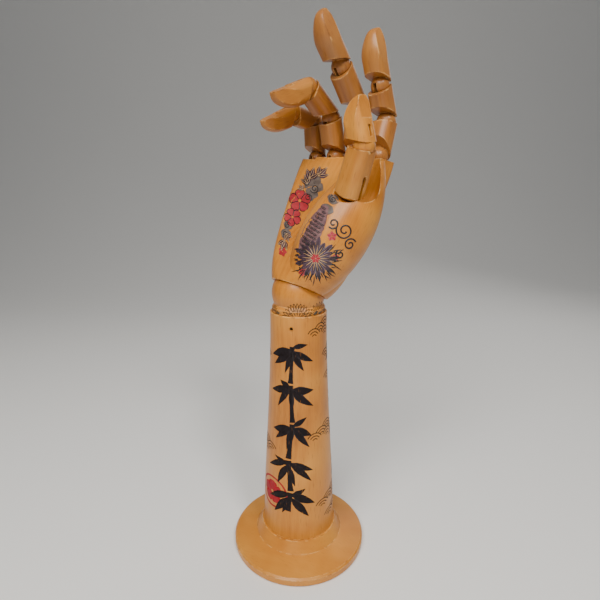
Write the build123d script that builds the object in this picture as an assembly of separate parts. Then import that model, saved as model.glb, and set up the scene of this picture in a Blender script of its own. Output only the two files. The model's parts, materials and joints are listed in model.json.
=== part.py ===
from build123d import *
import math
import os

os.makedirs("parts", exist_ok=True)

# Jointed wooden hand on a turned forearm and a round base.
# Millimetres, +Z up, origin at the centre of the base's underside.
# The palm faces -Y and the thumb is on the +X side.

# Shared clearances and tools
cut_overrun = 4.0          # how far every cutting solid runs past what it cuts
dome_clearance = 0.35      # gap between a dome and the hollow it turns in
slot_clearance = 0.3       # gap each side of a link that swings in a saw slot
pin_clearance = 0.06       # radial running gap of a hinge pin in its link
link_seat_gap = 0.05       # gap round a link where it is pinned fast
pin_margin = 1.4           # wood left over each end of a hidden pin

# Base
base_radius = 58.0
base_edge_height = 7.6
base_bevel = 1.4
base_hub_radius = 38.0
base_hub_rise = 4.6        # rise of the dished top from the edge to the hub
base_collar_radius = 32.6
base_height = 20.7
pad_radius = 52.0
pad_thickness = 1.2
screw_hole_radius = 2.5
screw_head_radius = 6.0
screw_head_height = 3.0
screw_well_depth = 9.0
screw_length = 34.0

# Forearm
foot_radius = 31.2
forearm_waist_radius = 27.6
forearm_waist_share = 0.408   # heights as shares of the forearm, base to rim
forearm_neck_radius = 23.6
forearm_neck_share = 0.81
rim_radius = 23.0
rim_height = 215.0
rim_bevel = 0.6
cup_radius = 34.0          # ball radius of the shallow cup under the wrist block
stem_radius = 6.0
stem_depth = 26.0          # how far the stem goes down into the forearm
stem_rise = 12.0           # how far the stem goes up into the wrist block
stem_groove_depth = 1.8
stem_groove_height = 4.0
lock_pin_radius = 1.35
lock_pin_drop = 9.5        # below the forearm rim
lock_pin_direction = -59.0 # about +Z from +X, degrees

# Wrist block
wrist_radius = 21.4
wrist_centre_rise = 14.5   # hinge above the forearm rim
wrist_centre_height = rim_height + wrist_centre_rise
wrist_waist_drop = 8.2
wrist_collar_drop = 11.0
wrist_bend_rest = -27.0    # the palm leans back, degrees
palm_lean = 2.0            # the palm leans to the thumb side, degrees
wrist_link_thickness = 3.0
wrist_link_width = 12.0
wrist_link_rise = 36.0
wrist_link_pin_rise = 31.0
wrist_swing = 32.0         # the link clears the block this far each side, degrees
wrist_pin_radius = 2.0

# Palm, in its own frame: X to the thumb side, Y to the back, Z to the fingers.
# Heights are shares of the height of the knuckle hinges.
knuckle_height = 117.0
palm_rim_radius = 23.6
palm_rim_rise = 2.6
palm_rim_corner_share = 0.99
palm_heel_share = 0.205
palm_heel_outer = 28.5
palm_heel_inner = 31.0
palm_heel_back = 21.5
palm_heel_front = 22.0
palm_heel_corner = 13.0
palm_middle_share = 0.479
palm_middle_outer = 38.0
palm_middle_inner = 37.5
palm_middle_back = 17.5
palm_middle_front = 17.5
palm_middle_corner = 12.0
palm_upper_share = 0.769
palm_upper_outer = 40.8
palm_upper_inner = 41.0
palm_upper_back = 13.5
palm_upper_front = 15.2
palm_upper_corner = 8.5
palm_top_rise = 9.0        # above the knuckle hinges
palm_top_outer = 40.0
palm_top_inner = 41.0
palm_top_back = 9.5
palm_top_front = 12.5
palm_top_corner = 7.0
hollow_radius = 70.0       # large ball that hollows the middle of the palm
hollow_depth = 4.5
hollow_side = -8.0
hollow_height_share = 0.564

# Thenar mound: a spindle that swells out of the palm below the thumb
mound_radius = 26.6
mound_length = 140.0
mound_side = 20.2
mound_front = 4.5
mound_height_share = 0.42
mound_side_lean = 16.0
mound_front_lean = 1.0

# Fingers
knuckle_front = 3.0
knuckle_spacing = 21.6
dome_inset = 1.3           # the dome is this much smaller than its piece
section_corner_share = 0.78
joint_edge_gap = 0.45      # gap at the back of a closed joint
link_thickness = 2.0
link_width = 5.6
link_reach = 15.0
link_pin_reach = 11.5
hinge_pin_radius = 1.25
back_slot_start = 4.5
back_slot_length = 7.5

index_proximal_length = 28.0
index_middle_length = 25.6
index_distal_length = 37.0
index_radius = 9.2
index_drop = 0.8
middle_proximal_length = 34.0
middle_middle_length = 35.5
middle_distal_length = 38.2
middle_radius = 9.4
middle_drop = -0.5
ring_proximal_length = 30.8
ring_middle_length = 32.0
ring_distal_length = 36.3
ring_radius = 9.1
ring_drop = -0.3
little_proximal_length = 29.7
little_middle_length = 25.3
little_distal_length = 32.3
little_radius = 8.3
little_drop = 1.0
knuckle_taper_share = 0.96  # piece radius at the first finger joint
end_taper_share = 0.91      # piece radius at the last finger joint

# Fingertips: heights are shares of the length from hinge to tip
tip_axis_inset = 3.0       # the tip ends this far in front of the back
tip_shoulder_share = 0.26  # height where the sides start to close in
tip_bow_share = 0.88       # half width midway between shoulder and tip
tip_end_share = 0.36        # half width at the tip
tip_pad_shares = ((1.0, 0.24), (0.975, 0.45), (0.88, 0.66), (0.62, 0.86), (0.34, 0.97), (0.0, 1.0))
nail_share = 0.52          # height where the flat of the nail starts
nail_depth = 0.9

# Height of the child's front edge over the hinge and drop of the parent's,
# as shares of the distance from the hinge to the front of the finger
knuckle_cut_shares = (1.2, 0.62)
middle_cut_shares = (1.3, 0.34)
end_cut_shares = (1.15, 0.4)

# Places along the knuckle row in spacings, inward toe and rest bends
finger_place_shares = {"index": 1.5, "middle": 0.5, "ring": -0.5, "little": -1.5}
finger_toe_lean = {"index": -2.5, "middle": -0.8, "ring": 2.4, "little": 3.6}
finger_bend = {
    "index": (7.6, 40.8, 0.0),
    "middle": (26.0, 41.0, 3.0),
    "ring": (43.5, 38.0, 58.0),
    "little": (36.2, 71.0, 35.0),
}

# Thumb
thumb_side = 39.3
thumb_height_share = 0.7368
thumb_front = 27.5
thumb_forward = 33.7       # lean away from the palm, degrees
thumb_outward = 23.1       # lean to the side, degrees
thumb_roll = -91.5
thumb_heel_radius = 16.2   # round heel about the hinge
thumb_proximal_length = 22.7
thumb_distal_length = 31.6
thumb_width = 10.3
thumb_corner_share = 0.62
thumb_thickness = 9.6
thumb_radius = 9.1
thumb_bend = 37.2
thumb_link_thickness = 2.4
thumb_link_width = 8.0
thumb_link_reach = 31.0
thumb_link_pin_reach = 26.0
thumb_swing_in = 25.0
thumb_swing_out = 35.0
thumb_cut_shares = (0.9, 0.3)

# Scoop that opens the thumb's pocket to the side of the palm
scoop_radius = 15.0
scoop_side = 38.0
scoop_front = 18.0
scoop_height_share = 0.7265
scoop_forward = 16.0       # lean of the scoop away from the palm, degrees

centre = (Align.CENTER, Align.CENTER, Align.CENTER)
standing = (Align.CENTER, Align.CENTER, Align.MIN)


def block(x_low, x_high, y_low, y_high, z_low, z_high):
    """A box between two corners."""
    size = (x_high - x_low, y_high - y_low, z_high - z_low)
    place = Pos(x_low, y_low, z_low)
    return place * Box(*size, align=(Align.MIN, Align.MIN, Align.MIN))


def turned(points):
    """A solid turned about Z from an outline of radius and height."""
    outline = Plane.XZ * make_face(Polyline(*points, close=True))
    return revolve(outline, Axis.Z)


def cross_pin(radius, length):
    """A pin along X through the origin."""
    return Rot(Y=90) * Cylinder(radius, length, align=centre)


def side_plate(points, thickness):
    """A plate in the YZ plane, centred on X, from an outline of y and z."""
    outline = Plane.YZ * make_face(Polyline(*points, close=True))
    return extrude(outline, amount=thickness / 2, both=True)


def rounded_section(low_x, high_x, low_y, high_y, corner, height):
    """A rounded rectangle at a height, for a loft."""
    middle = ((low_x + high_x) / 2, (low_y + high_y) / 2)
    sketch = RectangleRounded(high_x - low_x, high_y - low_y, corner)
    return Pos(middle[0], middle[1], height) * sketch


def finger_section(radius, height, back):
    """A finger's section whose back face is at y = back."""
    corner = radius * section_corner_share
    return rounded_section(-radius, radius, back - 2 * radius, back, corner, height)


def over_rim(radius, share, reach, width):
    """What lies over the sloping rim that faces a hinge at the origin."""
    back = radius - dome_inset
    front = radius + dome_inset
    drop_back = joint_edge_gap / 2
    slope = (front * share - drop_back) / (front + back)
    high = -drop_back + slope * (reach - back)
    low = -front * share - slope * (reach - front)
    points = [(-reach, low), (reach, high), (reach, reach), (-reach, reach)]
    return side_plate(points, width)


def under_cut(radius, share):
    """What lies under the sloping cut at the near end of a piece."""
    back = radius - dome_inset
    front = radius + dome_inset
    reach = radius + cut_overrun
    rise_back = joint_edge_gap / 2
    slope = (front * share - rise_back) / (front + back)
    low = rise_back - slope * (reach - back)
    high = front * share + slope * (reach - front)
    points = [(-reach, high), (reach, low), (reach, -2 * reach), (-reach, -2 * reach)]
    return side_plate(points, 2 * reach)


def dome_slot(dome, thickness, width):
    """Saw slot in a dome, open below and in front, for a swinging link."""
    wide = thickness / 2 + slot_clearance
    edge = width / 2 + slot_clearance
    reach = dome + cut_overrun
    return block(-wide, wide, -reach, edge, -reach, edge)


def back_slot(radius, thickness):
    """Short slot at the back of a piece, just beyond its dome."""
    wide = thickness / 2 + slot_clearance
    top = back_slot_start + back_slot_length
    inner = radius - dome_inset - back_slot_length / 2
    return block(-wide, wide, inner, radius + cut_overrun, back_slot_start, top)


def link(thickness, width, reach, pin_reach, pin_radius):
    """A flat link: round eye at the hinge, pinned fast below it."""
    eye = Rot(Y=90) * Cylinder(width / 2, thickness, align=centre)
    strap = block(-thickness / 2, thickness / 2, -width / 2, width / 2, -reach, 0)
    hinge_hole = cross_pin(pin_radius + pin_clearance, thickness + cut_overrun)
    fixed_hole = Pos(Z=-pin_reach) * cross_pin(pin_radius, thickness + cut_overrun)
    return eye + strap - hinge_hole - fixed_hole


def link_seat(thickness, width, reach):
    """The slot in which a link is pinned fast."""
    wide = thickness / 2 + link_seat_gap
    half = width / 2 + link_seat_gap
    return block(-wide, wide, -half, half, -reach - link_seat_gap, 0)


def hinge_pin(dome):
    """The pin across a dome."""
    return cross_pin(hinge_pin_radius, 2 * (dome - pin_margin))


def fixed_pin(radius):
    """The pin that holds a link in the end of a piece."""
    return Pos(Z=-link_pin_reach) * cross_pin(hinge_pin_radius, 2 * (radius - pin_margin))


def shank(near_radius, far_radius, length):
    """The tapered body of a piece between two hinges."""
    near_back = near_radius - dome_inset
    far_back = far_radius - dome_inset
    near = finger_section(near_radius, -near_radius, near_back)
    far = finger_section(far_radius, length, far_back)
    return loft([near, far])


def with_dome(body, radius, cut_share):
    """Cut the near end of a body, add its dome and saw the slots."""
    dome = radius - dome_inset
    shape = body - under_cut(radius, cut_share) + Sphere(dome)
    shape -= dome_slot(dome, link_thickness, link_width)
    shape -= back_slot(radius, link_thickness)
    return shape - hinge_pin(dome)


def with_socket(body, radius, rim_share, length):
    """Hollow the far end of a body for the next dome and its link."""
    dome = radius - dome_inset
    shape = body - Pos(Z=length) * over_rim(
        radius, rim_share, radius + cut_overrun, 2 * (radius + cut_overrun))
    shape -= Pos(Z=length) * Sphere(dome + dome_clearance)
    shape -= Pos(Z=length) * link_seat(link_thickness, link_width, link_reach)
    return shape - Pos(Z=length) * fixed_pin(radius)


def tip_body(radius, length, near_height):
    """A fingertip: straight back, flat nail, closing sides and a full pad."""
    back = radius - dome_inset
    axis_back = back - tip_axis_inset
    depth = axis_back + radius + dome_inset
    shoulder = length * tip_shoulder_share
    end = radius * tip_end_share
    bow = radius * tip_bow_share
    middle = (shoulder + length) / 2
    body = extrude(finger_section(radius, near_height, back), amount=length - near_height)
    front = Plane.XZ * make_face(
        Polyline((-radius, shoulder), (-radius, near_height), (radius, near_height),
                 (radius, shoulder))
        + ThreePointArc((radius, shoulder), (bow, middle), (end, length))
        + Line((end, length), (-end, length))
        + ThreePointArc((-end, length), (-bow, middle), (-radius, shoulder)))
    body &= extrude(front, amount=2 * radius, both=True)
    pad = [(depth * wide, length * high) for wide, high in tip_pad_shares]
    side = Plane.XZ * make_face(
        Spline(*pad) + Polyline(pad[-1], (0, near_height), (depth, near_height), pad[0]))
    body &= Pos(Y=axis_back) * revolve(side, Axis.Z)
    nail = block(-2 * radius, 2 * radius, back - nail_depth, 2 * radius,
                 length * nail_share, 2 * length)
    return body - nail


def place_chain(start, bends, lengths):
    """The frames of a finger's three pieces at rest."""
    frames = []
    frame = start
    for bend, length in zip(bends, lengths):
        frame = frame * Rot(X=bend)
        frames.append(frame)
        frame = frame * Pos(Z=length)
    return frames


def finger(name, lengths, radius, drop, palm_frame):
    """One finger: its nodes by name, and the cuts that it needs in the palm."""
    knuckle = Pos(finger_place_shares[name] * knuckle_spacing, -knuckle_front, knuckle_height - drop)
    start = palm_frame * knuckle * Rot(Y=finger_toe_lean[name])
    frames = place_chain(start, finger_bend[name], lengths)
    second = radius * knuckle_taper_share
    third = radius * end_taper_share
    proximal = with_dome(shank(radius, second, lengths[0]), radius, knuckle_cut_shares[0])
    proximal = with_socket(proximal, second, middle_cut_shares[1], lengths[0])
    middle = with_dome(shank(second, third, lengths[1]), second, middle_cut_shares[0])
    middle = with_socket(middle, third, end_cut_shares[1], lengths[1])
    distal = with_dome(tip_body(third, lengths[2], -third), third, end_cut_shares[0])
    strap = link(link_thickness, link_width, link_reach, link_pin_reach, hinge_pin_radius)
    nodes = {
        name + "_proximal": frames[0] * proximal,
        name + "_middle": frames[1] * middle,
        name + "_distal": frames[2] * distal,
        name + "_middle_link": frames[0] * Pos(Z=lengths[0]) * strap,
        name + "_end_link": frames[1] * Pos(Z=lengths[1]) * strap,
        name + "_proximal_pins": frames[0] * Compound([
            hinge_pin(radius - dome_inset), Pos(Z=lengths[0]) * fixed_pin(second)]),
        name + "_middle_pins": frames[1] * Compound([
            hinge_pin(second - dome_inset), Pos(Z=lengths[1]) * fixed_pin(third)]),
        name + "_distal_pin": frames[2] * hinge_pin(third - dome_inset),
    }
    return nodes, knuckle * Rot(Y=finger_toe_lean[name]), strap


def base_parts():
    """The turned base with its felt pad and screw."""
    edge = base_edge_height
    hub_height = edge + base_hub_rise
    base = turned([
        (0, 0),
        (base_radius - base_bevel, 0),
        (base_radius, base_bevel),
        (base_radius, edge - base_bevel),
        (base_radius - base_bevel, edge),
        (base_hub_radius, hub_height),
        (base_collar_radius, base_height),
        (0, base_height),
    ])
    base -= Cylinder(pad_radius, pad_thickness, align=standing)
    base -= Cylinder(screw_head_radius + link_seat_gap, screw_well_depth, align=standing)
    base -= Cylinder(screw_hole_radius, base_height + cut_overrun, align=standing)
    head_bottom = screw_well_depth - screw_head_height
    screw = Pos(Z=head_bottom) * Cylinder(screw_head_radius, screw_head_height, align=standing)
    screw += Pos(Z=head_bottom) * Cylinder(screw_hole_radius, screw_length, align=standing)
    pad = Cylinder(pad_radius, pad_thickness, align=standing)
    return base, pad, screw


base_disc, base_pad, base_screw = base_parts()


def forearm_parts():
    """The turned forearm, hollowed at its top, and the pin that locks the stem."""
    run = rim_height - base_height
    line = Spline((foot_radius, base_height),
                  (forearm_waist_radius, base_height + run * forearm_waist_share),
                  (forearm_neck_radius, base_height + run * forearm_neck_share),
                  (rim_radius, rim_height - rim_bevel))
    rest = Polyline((rim_radius, rim_height - rim_bevel), (rim_radius - rim_bevel, rim_height),
                    (0, rim_height), (0, base_height), (foot_radius, base_height))
    body = revolve(Plane.XZ * make_face(line + rest), Axis.Z)
    cup_middle = rim_height + math.sqrt(cup_radius ** 2 - wrist_radius ** 2)
    body -= Pos(Z=cup_middle) * Sphere(cup_radius + dome_clearance)
    cup_floor = cup_middle - cup_radius
    bore = stem_radius + pin_clearance
    body -= Pos(Z=cup_floor - stem_depth) * Cylinder(bore, stem_depth + cut_overrun, align=standing)
    head_bottom = screw_well_depth - screw_head_height
    body -= Pos(Z=head_bottom) * Cylinder(screw_hole_radius, screw_length, align=standing)
    pin_height = rim_height - lock_pin_drop
    inner = stem_radius - stem_groove_depth + dome_clearance
    along = Pos(Z=pin_height) * Rot(Z=lock_pin_direction) * Rot(Y=90)
    outer = rim_radius - pin_margin
    body -= along * Cylinder(lock_pin_radius, rim_radius + cut_overrun, align=standing)
    pin = along * Pos(Z=inner) * Cylinder(lock_pin_radius, outer - inner, align=standing)
    stem = turned([
        (0, cup_floor - stem_depth + pin_margin),
        (stem_radius, cup_floor - stem_depth + pin_margin),
        (stem_radius, pin_height - stem_groove_height / 2),
        (stem_radius - stem_groove_depth, pin_height - stem_groove_height / 2),
        (stem_radius - stem_groove_depth, pin_height + stem_groove_height / 2),
        (stem_radius, pin_height + stem_groove_height / 2),
        (stem_radius, cup_floor + stem_rise),
        (0, cup_floor + stem_rise),
    ])
    return body, pin, stem


forearm, wrist_lock_pin, wrist_stem = forearm_parts()


def wrist_block_part():
    """The wrist block: a ball above, a waist and a collar that sits in the cup."""
    middle = wrist_centre_height
    waist = math.sqrt(wrist_radius ** 2 - wrist_waist_drop ** 2)
    upper = Pos(Z=middle) * Sphere(wrist_radius)
    upper -= Pos(Z=middle - wrist_waist_drop) * Cylinder(
        wrist_radius + cut_overrun, 2 * wrist_radius,
        align=(Align.CENTER, Align.CENTER, Align.MAX))
    cup_middle = rim_height + math.sqrt(cup_radius ** 2 - wrist_radius ** 2)
    lower = turned([
        (0, middle - wrist_waist_drop),
        (waist, middle - wrist_waist_drop),
        (wrist_radius, middle - wrist_collar_drop),
        (wrist_radius, rim_height),
        (wrist_radius, cup_middle - cup_radius),
        (0, cup_middle - cup_radius),
    ])
    lower &= Pos(Z=cup_middle) * Sphere(cup_radius)
    body = upper + lower - wrist_stem
    wide = wrist_link_thickness / 2 + slot_clearance
    edge = wrist_link_width / 2 + slot_clearance
    reach = wrist_radius + cut_overrun
    swing = math.radians(wrist_swing)
    side, low = edge * math.cos(swing), -edge * math.sin(swing)
    far_side, high = side + reach * math.sin(swing), low + reach * math.cos(swing)
    slot = side_plate([(-side, low), (-far_side, high), (-far_side, reach), (far_side, reach),
                       (far_side, high), (side, low)], 2 * wide)
    body -= Pos(Z=middle) * (slot + cross_pin(edge, 2 * wide))
    pin = Pos(Z=middle) * cross_pin(wrist_pin_radius, 2 * (wrist_radius - pin_margin))
    return body - pin, pin


wrist_block, wrist_hinge_pin = wrist_block_part()


def palm_body():
    """The palm before its joints are cut."""
    body = loft([
        rounded_section(-palm_rim_radius, palm_rim_radius, -palm_rim_radius,
                        palm_rim_radius, palm_rim_radius * palm_rim_corner_share, palm_rim_rise),
        rounded_section(-palm_heel_outer, palm_heel_inner, -palm_heel_front,
                        palm_heel_back, palm_heel_corner, palm_heel_share * knuckle_height),
        rounded_section(-palm_middle_outer, palm_middle_inner, -palm_middle_front,
                        palm_middle_back, palm_middle_corner, palm_middle_share * knuckle_height),
        rounded_section(-palm_upper_outer, palm_upper_inner, -palm_upper_front,
                        palm_upper_back, palm_upper_corner, palm_upper_share * knuckle_height),
        rounded_section(-palm_top_outer, palm_top_inner, -palm_top_front,
                        palm_top_back, palm_top_corner, knuckle_height + palm_top_rise),
    ])
    half = mound_length / 2
    spindle = Plane.XZ * make_face(
        ThreePointArc((0, -half), (mound_radius, 0), (0, half)) + Line((0, half), (0, -half)))
    mound = revolve(spindle, Axis.Z)
    mound = Pos(mound_side, -mound_front, mound_height_share * knuckle_height) * Rot(
        X=mound_front_lean) * Rot(Y=mound_side_lean) * mound
    hollow_front = palm_middle_front + hollow_radius - hollow_depth
    hollow = Pos(hollow_side, -hollow_front, hollow_height_share * knuckle_height)
    body -= hollow * Sphere(hollow_radius)
    below = block(-mound_length, mound_length, -mound_length, mound_length,
                  -mound_length, palm_rim_rise)
    return body + (mound - below)


bend_frame = Pos(Z=wrist_centre_height) * Rot(X=wrist_bend_rest)
palm_frame = bend_frame * Rot(Y=palm_lean)
thumb_hinge = Pos(thumb_side, -thumb_front, thumb_height_share * knuckle_height) * Rot(X=thumb_forward) * Rot(
    Y=thumb_outward) * Rot(Z=thumb_roll)

finger_sizes = {
    "index": ((index_proximal_length, index_middle_length, index_distal_length),
              index_radius, index_drop),
    "middle": ((middle_proximal_length, middle_middle_length, middle_distal_length),
               middle_radius, middle_drop),
    "ring": ((ring_proximal_length, ring_middle_length, ring_distal_length),
             ring_radius, ring_drop),
    "little": ((little_proximal_length, little_middle_length, little_distal_length),
               little_radius, little_drop),
}


def thumb_parts():
    """The thumb's two pieces in the frame of its hinge."""
    heel = thumb_heel_radius
    near = rounded_section(-thumb_thickness, thumb_thickness, -thumb_width, thumb_width,
                           thumb_width * thumb_corner_share, -heel)
    far = finger_section(thumb_radius, thumb_proximal_length, thumb_radius - dome_inset)
    body = loft([near, far])
    body &= Sphere(heel) + block(-heel, heel, -heel, heel, 0, 4 * heel)
    wide = thumb_link_thickness / 2 + slot_clearance
    edge = thumb_link_width / 2 + slot_clearance
    reach = heel + cut_overrun
    inner = reach * math.tan(math.radians(thumb_swing_in)) + edge
    slot = side_plate([(-inner, -reach), (-inner, -edge), (-edge, edge), (reach, edge),
                       (reach, -reach)], 2 * wide)
    body -= slot
    body = with_socket(body, thumb_radius, thumb_cut_shares[1], thumb_proximal_length)
    pin = cross_pin(hinge_pin_radius, 2 * (thumb_thickness - pin_margin))
    body -= pin
    tip = with_dome(tip_body(thumb_radius, thumb_distal_length, -thumb_radius),
                    thumb_radius, thumb_cut_shares[0])
    return body, pin, tip


thumb_proximal, thumb_hinge_pin, thumb_distal = thumb_parts()
small_link = link(link_thickness, link_width, link_reach, link_pin_reach, hinge_pin_radius)
thumb_frame = palm_frame * thumb_hinge
thumb_tip_frame = thumb_frame * Pos(Z=thumb_proximal_length) * Rot(X=thumb_bend)
thumb_link_shape = link(thumb_link_thickness, thumb_link_width, thumb_link_reach,
                        thumb_link_pin_reach, hinge_pin_radius)

nodes = {
    "base_disc": base_disc,
    "base_pad": base_pad,
    "base_screw": base_screw,
    "forearm": forearm,
    "wrist_lock_pin": wrist_lock_pin,
    "wrist_block": wrist_block,
    "wrist_stem": wrist_stem,
    "wrist_hinge_pin": wrist_hinge_pin,
}

palm = palm_body()
knuckle_links = []
palm_pins = []
for name, (lengths, radius, drop) in finger_sizes.items():
    pieces, knuckle, strap = finger(name, lengths, radius, drop, palm_frame)
    nodes.update(pieces)
    dome = radius - dome_inset
    palm -= knuckle * over_rim(radius, knuckle_cut_shares[1], palm_upper_outer,
                               knuckle_spacing + cut_overrun / 2)
    palm -= knuckle * Sphere(dome + dome_clearance)
    palm -= knuckle * link_seat(link_thickness, link_width, link_reach)
    palm -= knuckle * fixed_pin(radius)
    knuckle_links.append(knuckle * strap)
    palm_pins.append(knuckle * fixed_pin(radius))

# Pocket and seat of the thumb
pocket_floor = thumb_thickness + dome_clearance
pocket_reach = thumb_heel_radius + dome_clearance
pocket = thumb_hinge * Pos(X=-pocket_floor) * Rot(Y=90) * Cylinder(
    pocket_reach, 4 * pocket_reach, align=standing)
pocket += thumb_hinge * Rot(X=-thumb_swing_out / 2) * block(
    -pocket_floor, 4 * pocket_reach, -pocket_reach, pocket_reach, 0, 4 * pocket_reach)
scoop = Sphere(scoop_radius) + Cylinder(scoop_radius, 4 * scoop_radius, align=standing)
pocket += Pos(scoop_side, -scoop_front, scoop_height_share * knuckle_height) * Rot(X=scoop_forward) * scoop
palm -= pocket
palm -= thumb_hinge * link_seat(thumb_link_thickness, thumb_link_width, thumb_link_reach)
thumb_fixed_pin = thumb_hinge * Pos(Z=-thumb_link_pin_reach) * cross_pin(
    hinge_pin_radius, thumb_thickness)
palm -= thumb_fixed_pin
palm_pins.append(thumb_fixed_pin)

# Hollow over the wrist block, and the link that joins the two
palm -= Sphere(wrist_radius + dome_clearance)
link_lift = Rot(X=180)
wrist_strap = link_lift * link(wrist_link_thickness, wrist_link_width, wrist_link_rise,
                               wrist_link_pin_rise, wrist_pin_radius)
upright = Rot(Y=-palm_lean)
palm -= upright * link_lift * link_seat(wrist_link_thickness, wrist_link_width, wrist_link_rise)
wrist_fixed_pin = Pos(Z=wrist_link_pin_rise) * cross_pin(wrist_pin_radius, wrist_radius)
palm -= upright * wrist_fixed_pin

nodes["palm"] = palm_frame * palm
nodes["wrist_link"] = bend_frame * wrist_strap
nodes["wrist_link_pin"] = bend_frame * wrist_fixed_pin
nodes["knuckle_links"] = palm_frame * Compound(knuckle_links)
nodes["palm_pins"] = palm_frame * Compound(palm_pins)
nodes["thumb_link"] = palm_frame * thumb_hinge * thumb_link_shape
nodes["thumb_proximal"] = thumb_frame * thumb_proximal
nodes["thumb_end_link"] = thumb_frame * Pos(Z=thumb_proximal_length) * small_link
nodes["thumb_proximal_pins"] = thumb_frame * Compound(
    [thumb_hinge_pin, Pos(Z=thumb_proximal_length) * fixed_pin(thumb_radius)])
nodes["thumb_distal"] = thumb_tip_frame * thumb_distal
nodes["thumb_distal_pin"] = thumb_tip_frame * hinge_pin(thumb_radius - dome_inset)

for name, shape in nodes.items():
    export_step(shape, "parts/" + name + ".step")
print(len(nodes), "nodes")
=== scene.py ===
import bpy
import json
import math
import random
from mathutils import Matrix, Vector

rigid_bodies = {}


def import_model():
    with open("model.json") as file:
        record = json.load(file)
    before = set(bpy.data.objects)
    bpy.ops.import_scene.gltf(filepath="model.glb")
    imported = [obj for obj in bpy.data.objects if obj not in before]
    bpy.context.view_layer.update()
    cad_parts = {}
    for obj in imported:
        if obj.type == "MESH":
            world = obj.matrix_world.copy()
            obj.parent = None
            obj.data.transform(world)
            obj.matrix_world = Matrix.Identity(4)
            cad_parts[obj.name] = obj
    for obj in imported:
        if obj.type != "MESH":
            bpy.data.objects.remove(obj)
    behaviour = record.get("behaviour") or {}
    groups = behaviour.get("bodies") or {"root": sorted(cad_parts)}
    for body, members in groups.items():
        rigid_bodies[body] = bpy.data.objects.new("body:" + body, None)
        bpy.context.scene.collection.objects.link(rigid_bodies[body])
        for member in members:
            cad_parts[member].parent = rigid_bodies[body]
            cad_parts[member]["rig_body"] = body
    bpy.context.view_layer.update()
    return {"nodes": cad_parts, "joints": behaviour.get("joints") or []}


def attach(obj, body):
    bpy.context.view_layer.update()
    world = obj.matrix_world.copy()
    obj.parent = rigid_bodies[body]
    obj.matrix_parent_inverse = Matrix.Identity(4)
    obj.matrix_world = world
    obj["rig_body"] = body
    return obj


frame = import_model()
nodes = frame["nodes"]
joints = frame["joints"]
print("frame loaded:", len(nodes), "nodes")

# camera at the photograph's place: turn is degrees from -Y towards +X, tilt is radians down
cameraSetup = {"turn": 45.0, "distance": 0.344, "height": 0.309, "tilt": 0.245, "aside": -0.0012,
               "lens": 26.4, "sensor": 36.0, "nearest": 0.01}


def aimCamera(setup):
    turn = math.radians(setup["turn"])
    right = Vector((math.cos(turn), math.sin(turn), 0))
    away = Vector((-math.sin(turn), math.cos(turn), 0))
    forward = away * math.cos(setup["tilt"]) - Vector((0, 0, 1)) * math.sin(setup["tilt"])
    up = right.cross(forward)
    place = -away * setup["distance"] + Vector((0, 0, setup["height"])) - right * setup["aside"]
    data = bpy.data.cameras.new("studioCamera")
    data.sensor_width = setup["sensor"]
    data.lens = setup["lens"]
    data.clip_start = setup["nearest"]
    camera = bpy.data.objects.new("studioCamera", data)
    turned = Matrix((right, up, -forward)).transposed().to_4x4()
    camera.matrix_world = Matrix.Translation(place) @ turned
    bpy.context.scene.collection.objects.link(camera)
    bpy.context.scene.camera = camera
    return right, away


sideways, flatAway = aimCamera(cameraSetup)

# light places are right, towards the camera and up from the foot of the object
lightSetup = {
    "key": {"place": (-0.25, 0.72, 1.05), "size": 0.8, "power": 15.5, "colour": (1.0, 0.96, 0.9)},
    "fill": {"place": (0.30, 0.55, 1.0), "size": 0.22, "power": 5.0, "colour": (1.0, 0.97, 0.93)},
    "rim": {"place": (0.55, -0.75, 0.75), "size": 0.9, "power": 2.0, "colour": (1.0, 0.97, 0.93)},
}
aimHeight = 0.25     # all three lights look at this height on the axis
roomLook = {"colour": (0.86, 0.88, 0.9), "strength": 0.16}


def hangLight(name, setup):
    side, near, high = setup["place"]
    place = sideways * side - flatAway * near + Vector((0, 0, high))
    data = bpy.data.lights.new(name, "AREA")
    data.shape = "DISK"
    data.size = setup["size"]
    data.energy = setup["power"]
    data.color = setup["colour"]
    light = bpy.data.objects.new(name, data)
    look = (Vector((0, 0, aimHeight)) - place).to_track_quat("-Z", "Y")
    light.matrix_world = Matrix.Translation(place) @ look.to_matrix().to_4x4()
    bpy.context.scene.collection.objects.link(light)


def lightRoom(look):
    room = bpy.data.worlds.new("paleRoom")
    room.use_nodes = True
    background = room.node_tree.nodes["Background"]
    background.inputs["Color"].default_value = (*look["colour"], 1)
    background.inputs["Strength"].default_value = look["strength"]
    bpy.context.scene.world = room


for lightName, setup in lightSetup.items():
    hangLight(lightName + "Light", setup)
lightRoom(roomLook)


nodeGap = (200, 260)     # between nodes in the editor, nodeRow to a row
nodeRow = 9
plainDetail = 2.0        # octaves of a noise where its look gives none
noiseMiddle = 0.5


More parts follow.
